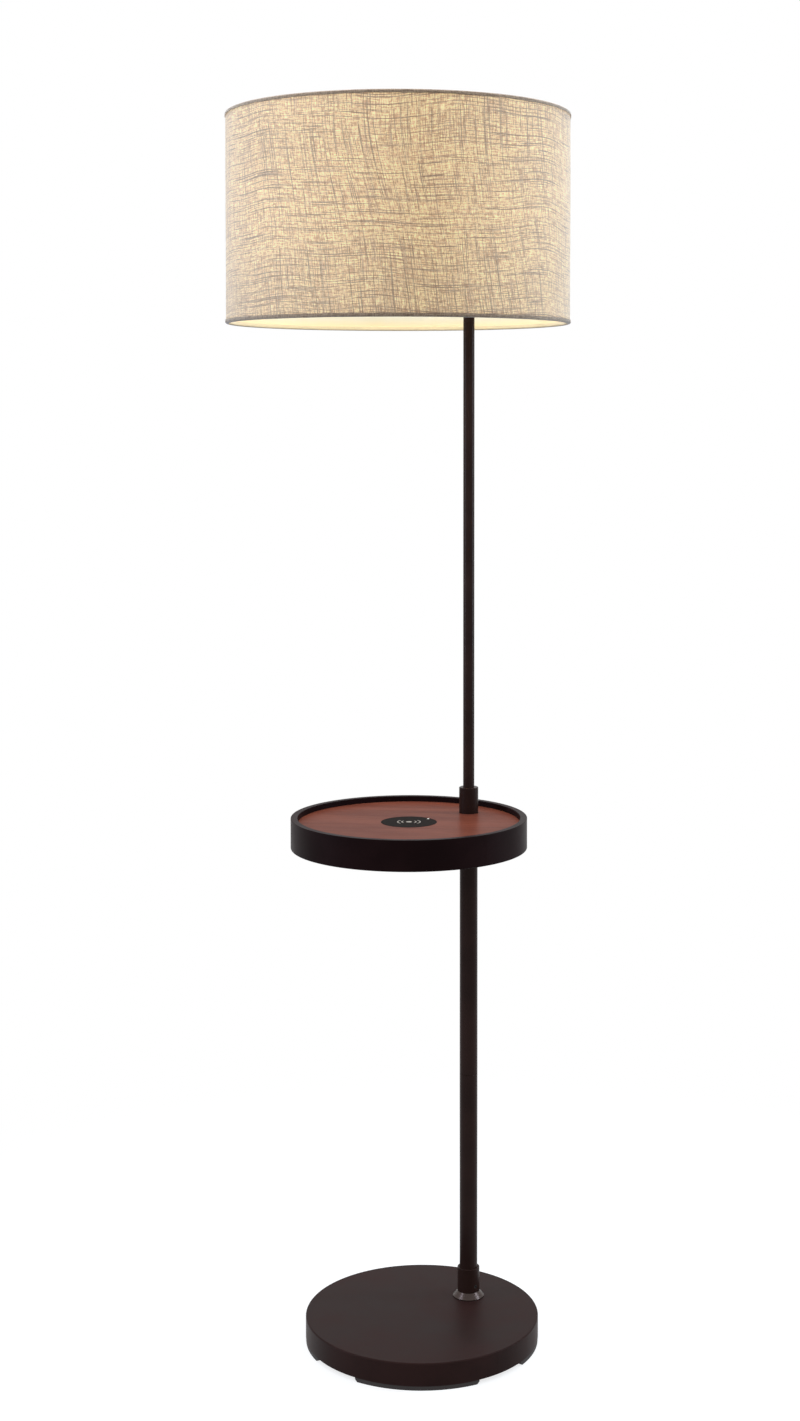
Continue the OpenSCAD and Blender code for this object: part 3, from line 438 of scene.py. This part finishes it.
def linen():
    """Slubby linen with a painted glow: its emission stands in for the bulb's light coming through from
    inside.

    The light that comes through the weave is held back by thick threads, so the pattern is strong where
    the cloth glows and faint where it only reflects. The glow is fullest level with the bulb."""
    t = Tree("linen")
    fine, thick, slub, fleck = weave(t)
    cloud = t.ramp(t.noise(t.coords("UV"), 55, 3, 0.6), 0.35, 0.68)
    colour = t.mix(fine, rgb(190, 166, 140), rgb(217, 199, 175))
    colour = t.tint(colour, thick, 0.10, rgb(158, 122, 98))
    colour = t.tint(colour, slub, 0.25, rgb(110, 74, 54))
    colour = t.tint(colour, fleck, 0.40, rgb(132, 96, 72))
    t.set(Base_Color=colour, Specular_IOR_Level=0.1, Sheen_Tint=(1.0, 0.99, 0.97, 1), **CLOTH_SKIN)
    # The emission colour is painted light: the bulb's glow through the weave, held back by the threads.
    through = t.mix(fine, rgb(170, 122, 76), rgb(255, 232, 156))
    through = t.tint(through, cloud, 0.30, rgb(186, 136, 92))
    through = t.tint(through, thick, 0.78, rgb(120, 70, 42))
    through = t.tint(through, slub, 1.0, rgb(70, 30, 18))
    through = t.tint(through, fleck, 0.7, rgb(100, 54, 34))
    height = t.along(t.coords(), "Z")
    # Painted falloff: the painted glow is darker towards the shade's bottom.
    painted_glow_falloff = t.ramp(height, SHADE_BOTTOM - GLOW_BELOW, SHADE_BOTTOM + GLOW_ABOVE, LEAST_GLOW, 1.0)
    glow = t.mix(1.0, through, t.grey(painted_glow_falloff), "MULTIPLY")
    t.set(Emission_Color=glow, Emission_Strength=0.68)
    relief = t.maths("SUBTRACT", t.maths("ADD", thick, slub), t.maths("MULTIPLY", fine, 0.6))
    t.bump(relief, 0.30, CLOTH_BUMP)
    return t.material


# Where the trim's UV map passes from its outer to its inner face, and the width of that step.
TRIM_FOLD = 0.0078
FOLD_SOFT = 0.0012


def trim_cloth():
    """The rolled edge: the same cloth doubled over a wire, darker outside. Its inner face has a paler
    colour as painted light and a painted glow, both for the bulb's light.
    """
    t = Tree("trim")
    fine, thick = weave(t)[:2]
    inside = t.ramp(t.along(t.coords("UV"), "Y"), TRIM_FOLD - FOLD_SOFT, TRIM_FOLD + FOLD_SOFT)
    outer = t.mix(fine, rgb(132, 113, 94), rgb(176, 155, 132))
    # The inner face's paler colour is painted light from the bulb on the same cloth.
    t.set(Base_Color=t.mix(inside, outer, rgb(222, 206, 174)))
    t.set(Specular_IOR_Level=0.15, Sheen_Tint=(1.0, 0.98, 0.95, 1), **CLOTH_SKIN)
    # Painted glow: faint outside, bright on the inner face, standing in for the bulb's light.
    t.set(Emission_Color=t.mix(inside, rgb(40, 28, 20), rgb(236, 214, 166)), Emission_Strength=0.5)
    t.bump(t.maths("ADD", fine, thick), 0.4, CLOTH_BUMP)
    return t.material


def liner_sheet():
    """Cream styrene with a painted glow for the bulb's light, and a painted warmer, deeper band of that
    light along its bottom edge.
    """
    t = Tree("liner")
    where = t.coords()
    streak = t.noise(where, (60, 60, 6), 3, 0.5)
    # A painted band of warm light along the liner's bottom edge.
    low = t.ramp(t.along(where, "Z"), SHADE_BOTTOM + 0.002, SHADE_BOTTOM + 0.022, 1.0, 0.0)
    pale = t.mix(t.ramp(streak, 0.3, 0.7), rgb(244, 236, 210), rgb(238, 229, 200))
    t.set(Base_Color=t.tint(pale, low, 0.6, rgb(236, 212, 160)), Roughness=0.45)
    # Painted glow for the bulb's light, warmer along the bottom edge.
    t.set(Emission_Color=t.mix(low, rgb(236, 242, 240), rgb(238, 228, 196)), Emission_Strength=0.34)
    return t.material


def make_finishes():
    """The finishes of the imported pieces, by the names of the record's slots. The cloth has its own."""
    return {
        "bronze": bronze("bronze", (39, 25, 22), (49, 33, 29), 0.30, 0.07),
        "painted_rim": bronze("painted_rim", (23, 11, 12), (31, 17, 18), 0.40, 0.03),
        "satin_bronze": satin_metal("satin_bronze", rgb(74, 64, 61), 0.26),
        "cast_iron": cast_iron(),
        "black_steel": moulded("black_steel", rgb(30, 28, 27), 0.5),
        "zinc_steel": satin_metal("zinc_steel", rgb(176, 176, 178), 0.35),
        "foot_rubber": moulded("foot_rubber", rgb(40, 34, 33), 0.7),
        "walnut": walnut(),
        "pad_rubber": pad_top(),
        "black_plastic": moulded("black_plastic", rgb(34, 32, 31), 0.5),
        "copper": satin_metal("copper", rgb(196, 118, 78), 0.35),
        "ferrite": moulded("ferrite", rgb(52, 52, 55), 0.7),
        "circuit_board": circuit(),
        "light_pipe": glowing("light_pipe", rgb(235, 232, 222), 0.7, 0.25),
        "lead_jacket": moulded("lead_jacket", rgb(120, 118, 115), 0.5),
        "brass": satin_metal("brass", rgb(186, 150, 92), 0.3),
        "white_wire": moulded("white_wire", rgb(232, 226, 212), 0.4),
        "liner": liner_sheet(),
        "bulb_plastic": moulded("bulb_plastic", rgb(236, 234, 226), 0.45),
        "bulb_globe": glowing("bulb_globe", rgb(255, 240, 208), 3.0),
    }


def dress_nodes(finishes):
    """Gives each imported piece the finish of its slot.

    The base's wide cover has a duller coat of the same paint. The pieces that cloth replaces get none."""
    own = {"base_cover": bronze("bronze_base", (38, 24, 22), (47, 30, 28), 0.46, 0.055)}
    for part in frame["record"]["subparts"]:
        finish = own.get(part["node"], finishes.get(part["material_slot"]))
        if finish is None:
            continue
        mesh = frame["nodes"][part["node"]].data
        mesh.materials.clear()
        mesh.materials.append(finish)


# ---------------------------------------------------------------- surfaces


def sheet_mesh(name, points, uv, material, closed=False):
    """A mesh from a grid of points, shape (u, v, 3), with a UV map, shape (u, v, 2), in metres.

    Each grid cell becomes one quad. A closed sheet joins its last line of points to its first."""
    nu, nv = points.shape[:2]
    a, b = np.meshgrid(np.arange(nu if closed else nu - 1), np.arange(nv - 1), indexing="ij")
    a1, b1 = (a + 1) % nu, b + 1
    quads = np.stack([a * nv + b, a1 * nv + b, a1 * nv + b1, a * nv + b1], -1).reshape(-1, 4)
    mesh = bpy.data.meshes.new(name)
    mesh.from_pydata(points.reshape(-1, 3).tolist(), [], quads.tolist())
    corner_uv = uv.reshape(-1, 2)[quads]
    if closed:
        wrapped = (a1 < a).reshape(-1)
        corner_uv[wrapped, 1:3, 0] += (uv[1, 0, 0] - uv[0, 0, 0]) * nu
    layer = mesh.uv_layers.new(name="UVMap")
    layer.data.foreach_set("uv", corner_uv.reshape(-1).astype(np.float32))
    mesh.materials.append(material)
    mesh.polygons.foreach_set("use_smooth", np.ones(len(quads), bool))
    mesh.update()
    piece = bpy.data.objects.new(name, mesh)
    bpy.context.scene.collection.objects.link(piece)
    return piece


def thicken(piece, thickness):
    """Gives a cloth surface its thickness, on its inner side."""
    wall = piece.modifiers.new("cloth", "SOLIDIFY")
    wall.thickness = thickness
    wall.offset = -1


# The linen: where its seam is, its lap there and the length over which the lap rises, its thickness, its
# distance from the liner, the height of its ripple, and how far it stays under the trims.
SEAM_ANGLE = math.radians(68)
LAP = 0.010
LAP_RISE = 0.004
CLOTH_T = 0.0006
LINER_GAP = 0.0002
RIPPLE = 0.00008
UNDER_TRIM = 0.0001
CLOTH_GRID = (420, 40)


def shade_cloth(material):
    """The linen wrapped once round the liner and lapped over itself by LAP at the seam.

    A point at s metres along the cloth and z up it lies at the angle s / r from the seam. Its radius is
    the liner's plus the gap and the cloth's thickness. To that come a slow ripple, RIPPLE times the sum of
    two sines of 9 and 23 times the angle that also turn with height, and one more cloth over the lap. It
    is held under the trims' radius."""
    length = 2 * math.pi * LINEN_R + LAP
    low, high = LINEN_LOW[2], LINEN_HIGH[2]
    s = np.linspace(0, length, CLOTH_GRID[0])[:, None]
    z = np.linspace(low, high, CLOTH_GRID[1])[None, :]
    angle = SEAM_ANGLE + s / LINEN_R
    ripple = RIPPLE * (np.sin(9 * angle + 14 * z) + np.sin(23 * angle - 31 * z))
    over = np.clip((s - (length - LAP - LAP_RISE)) / LAP_RISE, 0, 1) * (CLOTH_T + LINER_GAP)
    radius = np.minimum(LINER_R + LINER_GAP + CLOTH_T + ripple + over, TRIM_R - UNDER_TRIM)
    points = np.stack([radius * np.cos(angle), radius * np.sin(angle), z * np.ones_like(angle)], -1)
    uv = np.stack(np.broadcast_arrays(s, z - low), -1)
    piece = sheet_mesh("shade_cloth", points, uv, material)
    thicken(piece, CLOTH_T)
    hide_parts("shade_linen")
    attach(piece, "lamp")


# The trims' section: how far its legs reach down outside and inside, its depth, how flat its roll is, the
# step between leg and roll, and its thickness. Then how far its edge wanders and its face puckers, and its
# numbers of points: on each leg, round the roll and round the shade.
REACH_OUT, REACH_IN = 0.004, 0.0048
TRIM_DEPTH = 0.0052
ROLL_SQUASH = 0.62
ROLL_STEP = 0.0004
TRIM_T = 0.0004
EDGE_WANDER = 0.00016
PUCKER = 0.00006
LEG_POINTS, ROLL_POINTS, ROUND_POINTS = 5, 15, 540


def rolled_trim(name, node, upwards, material):
    """A strip of linen folded over the shade's edge and its wire ring.

    The section is a long hook: down the outside, round over the edge in a flattened half circle, and down
    the inside. It is carried round the shade. At the angle a, the end of its outer leg moves by
    EDGE_WANDER times the sum of the sines of 17 a and 41 a + 1. Its radius is drawn in by PUCKER times
    the size of the sine of 61 a, which also turns along the section."""
    low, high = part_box(node)
    edge = high[2] if upwards else low[2]
    side = 1 if upwards else -1
    inner_r = TRIM_R - TRIM_DEPTH
    mid_r, half = (TRIM_R + inner_r) / 2, (TRIM_R - inner_r) / 2
    turn = np.linspace(0, math.pi, ROLL_POINTS)
    rise = half * ROLL_SQUASH
    radii = np.concatenate([[TRIM_R] * LEG_POINTS, mid_r + half * np.cos(turn), [inner_r] * LEG_POINTS])
    drop = np.concatenate([
        np.linspace(REACH_OUT, rise + ROLL_STEP, LEG_POINTS),
        rise * (1 - np.sin(turn)),
        np.linspace(rise + ROLL_STEP, REACH_IN, LEG_POINTS),
    ])
    share = np.concatenate([np.linspace(1, 0, LEG_POINTS), np.zeros(ROLL_POINTS + LEG_POINTS)])
    along = np.concatenate([[0], np.cumsum(np.hypot(np.diff(radii), np.diff(drop)))])
    angle = np.linspace(0, 2 * math.pi, ROUND_POINTS, endpoint=False)[:, None]
    wander = EDGE_WANDER * (np.sin(17 * angle) + np.sin(41 * angle + 1.0))
    pucker = PUCKER * np.sin(61 * angle + 5 * along / REACH_OUT)
    r = radii - np.abs(pucker)
    z = edge - side * (drop + wander * share)
    points = np.stack([r * np.cos(angle), r * np.sin(angle), z], -1)
    uv = np.stack(np.broadcast_arrays(angle * TRIM_R, along), -1)
    if upwards:
        points, uv = points[:, ::-1], uv[:, ::-1]
    piece = sheet_mesh(name, points, uv, material, closed=True)
    thicken(piece, TRIM_T)
    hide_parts(node)
    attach(piece, "lamp")


# ---------------------------------------------------------------- light and floor


def area_lamp(name, place, aim, size, watts, colour, in_gloss):
    """A softbox at one place, facing another. Only those that show in gloss give highlights."""
    data = bpy.data.lights.new(name, "AREA")
    data.shape = "RECTANGLE"
    data.size, data.size_y = size
    data.energy = watts
    data.color = colour
    lamp = bpy.data.objects.new(name, data)
    lamp.location = place
    way = np.array(aim) - np.array(place)
    tilt = math.acos(-way[2] / np.linalg.norm(way))
    lamp.rotation_euler = (tilt, 0, math.atan2(way[1], way[0]) - math.pi / 2)
    lamp.visible_glossy = in_gloss
    bpy.context.scene.collection.objects.link(lamp)


def from_camera(right, ahead, up):
    """A place given as the camera sees it from the lamp's axis: metres right, beyond and up."""
    c, s = math.cos(CAMERA_AZIMUTH), math.sin(CAMERA_AZIMUTH)
    return (right * c - ahead * s, right * s + ahead * c, up)


def seen_as_background(path, nodes, links):
    """1 for rays that show the backdrop: the camera's own, and those off gloss and through glass."""
    seen = path.outputs["Is Camera Ray"]
    for ray in ("Is Glossy Ray", "Is Transmission Ray"):
        either = nodes.new("ShaderNodeMath")
        either.operation = "MAXIMUM"
        links.new(seen, either.inputs[0])
        links.new(path.outputs[ray], either.inputs[1])
        seen = either.outputs[0]
    return seen


# Each softbox: its place and the point it faces, as from_camera takes them, its width and height, its
# power and colour, and whether it shows in gloss.
SOFTBOXES = {
    "softbox_right": ((1.5, 0.1, 1.3), (0, 0, 1.1), (0.25, 1.5), 11.8, (0.82, 1.0, 1.20), True),
    "softbox_left": ((-1.6, -0.35, 1.3), (0, 0, 1.1), (0.45, 1.5), 13.2, (0.83, 0.98, 1.22), True),
    "softbox_top": ((0.0, 0.2, 3.0), (0, 0, 0.6), (1.8, 1.8), 52, (1, 1, 1), False),
    "softbox_front": ((0.2, -3.0, 1.9), (0, 0, 1.2), (1.6, 1.0), 19, (0.92, 1.0, 1.12), False),
}
# The bulb's light: how far it lies below the globe's top, its power and its radius. Then the world's light.
BULB_DROP = 0.026
BULB_WATTS = 3.4
BULB_R = 0.028
WORLD_FILL = 0.36


def make_studio():
    """Softboxes to both sides, above and behind the camera, a weak bulb, and a world white to see."""
    for name, (place, aim, *rest) in SOFTBOXES.items():
        area_lamp(name, from_camera(*place), from_camera(*aim), *rest)
    bulb = bpy.data.lights.new("bulb_light", "POINT")
    bulb.energy = BULB_WATTS
    bulb.color = (1.0, 0.66, 0.38)
    bulb.shadow_soft_size = BULB_R
    lit = bpy.data.objects.new("bulb_light", bulb)
    lit.location = (0, 0, BULB_TOP - BULB_DROP)
    bpy.context.scene.collection.objects.link(lit)

    world = bpy.data.worlds.new("studio")
    bpy.context.scene.world = world
    world.use_nodes = True
    nodes, links = world.node_tree.nodes, world.node_tree.links
    nodes.clear()
    seen = seen_as_background(nodes.new("ShaderNodeLightPath"), nodes, links)
    fill, white = (nodes.new("ShaderNodeBackground") for _ in range(2))
    fill.inputs["Strength"].default_value = WORLD_FILL
    for background in (fill, white):
        background.inputs["Color"].default_value = (1, 1, 1, 1)
    both = nodes.new("ShaderNodeMixShader")
    links.new(seen, both.inputs[0])
    links.new(fill.outputs[0], both.inputs[1])
    links.new(white.outputs[0], both.inputs[2])
    out = nodes.new("ShaderNodeOutputWorld")
    links.new(both.outputs[0], out.inputs["Surface"])


# The floor's radius and its numbers of points round and across. Then distances from the pole: where it
# fades into the backdrop, and where its own white sinks so that it throws little light on the lamp.
FLOOR_R = 3.6
FLOOR_GRID = (96, 20)
FADE_FROM, FADE_TO = 0.3, 1.0
SINK_FROM, SINK_TO = 0.6, 1.6
NEAR_WHITE, FAR_WHITE = 0.35, 0.03
# How far inside the base's edge the floor's painted shadow is darkest, and how far inside it the floor is
# fully lifted. Then those two strengths of the lift.
PAINTED_SHADOW_IN, LIFTED_IN = 0.045, 0.014
PAINTED_SHADOW_LIFT, FULL_LIFT = 0.05, 0.75


def make_floor():
    """A round floor, white to see where nothing shades it, with a painted shadow under the base where its
    white lift is turned down.

    It fades into the white backdrop with distance from the pole."""
    t = Tree("floor")
    t.nodes.remove(t.shader)
    away = t.length(t.mapped(t.coords(), place=(0, POLE_Y, 0)))
    under = t.length(t.mapped(t.coords(), place=(BASE_X, BASE_Y, 0)))
    seen = seen_as_background(t.add("ShaderNodeLightPath"), t.nodes, t.links)
    diffuse = t.add("ShaderNodeBsdfDiffuse")
    t.put(diffuse, "Color", t.grey(t.ramp(away, SINK_FROM, SINK_TO, NEAR_WHITE, FAR_WHITE)))
    lift = t.add("ShaderNodeEmission")
    # Painted shadow: the lift that makes the floor white is turned down under the base.
    lift_with_painted_shadow = t.ramp(under, BASE_R - PAINTED_SHADOW_IN, BASE_R - LIFTED_IN, PAINTED_SHADOW_LIFT, FULL_LIFT)
    t.put(lift, "Strength", t.maths("MULTIPLY", seen, lift_with_painted_shadow))
    near = t.add("ShaderNodeAddShader")
    t.put(near, 0, diffuse.outputs[0])
    t.put(near, 1, lift.outputs[0])
    white = t.add("ShaderNodeEmission")
    t.put(white, "Strength", 1.0)
    both = t.add("ShaderNodeMixShader")
    t.put(both, 0, t.maths("MULTIPLY", t.ramp(away, FADE_FROM, FADE_TO), seen))
    t.put(both, 1, near.outputs[0])
    t.put(both, 2, white.outputs[0])
    t.put(t.output, "Surface", both.outputs[0])
    angle = np.linspace(0, 2 * math.pi, FLOOR_GRID[0], endpoint=False)[:, None]
    r = np.linspace(FLOOR_R, 0.001, FLOOR_GRID[1])
    points = np.stack(np.broadcast_arrays(r * np.cos(angle), POLE_Y + r * np.sin(angle), 0.0), -1)
    sheet_mesh("floor", points, points[..., :2], t.material, closed=True)


# ---------------------------------------------------------------- the lamp

bpy.context.scene.view_settings.view_transform = "Standard"
make_camera()
dress_nodes(make_finishes())
shade_cloth(linen())
trim = trim_cloth()
rolled_trim("top_trim", "shade_top_trim", True, trim)
rolled_trim("bottom_trim", "shade_bottom_trim", False, trim)
make_studio()
make_floor()
